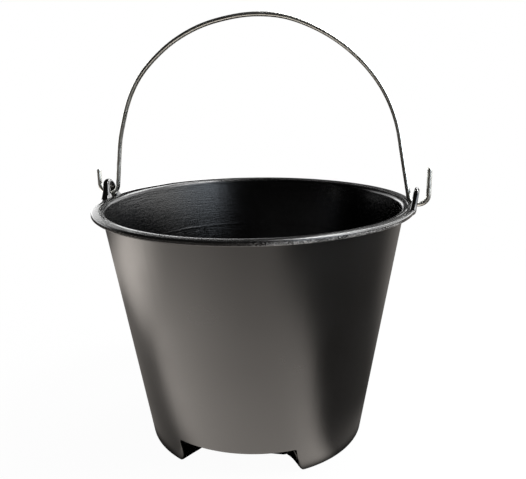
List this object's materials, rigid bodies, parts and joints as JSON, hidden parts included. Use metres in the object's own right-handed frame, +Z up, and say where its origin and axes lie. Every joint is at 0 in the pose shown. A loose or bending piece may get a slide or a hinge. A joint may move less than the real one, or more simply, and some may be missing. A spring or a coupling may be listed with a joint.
{
  "type": "bucket",
  "caption": "Tapered black plastic builder's bucket with a rolled rim, finger grips under the base and a swinging steel wire bail.",
  "frame": {"origin": "centre of the base, on the ground under the standing ring", "axes": "+Z up, +X from the bucket's axis towards the right ear, +Y away from the viewer towards the rear grip; the bail stands upright in the XZ plane at rest"},
  "size_m": [0.3482, 0.32, 0.4223],
  "materials": {
    "black_plastic": "satin moulded polyethylene with soft broad reflections, rim and ears a little glossier",
    "steel_wire": "dull galvanised drawn wire"
  },
  "bodies": {
    "tub": {"tub": "black_plastic", "left_ear": "black_plastic", "right_ear": "black_plastic"},
    "bail": {"bail": "steel_wire"}
  },
  "joints": [
    {"name": "bail_swing", "type": "hinge", "parent": "tub", "child": "bail", "pos_m": [0, 0, 0.2437], "axis": [1, 0, 0], "range_deg": [-90, 90]}
  ]
}
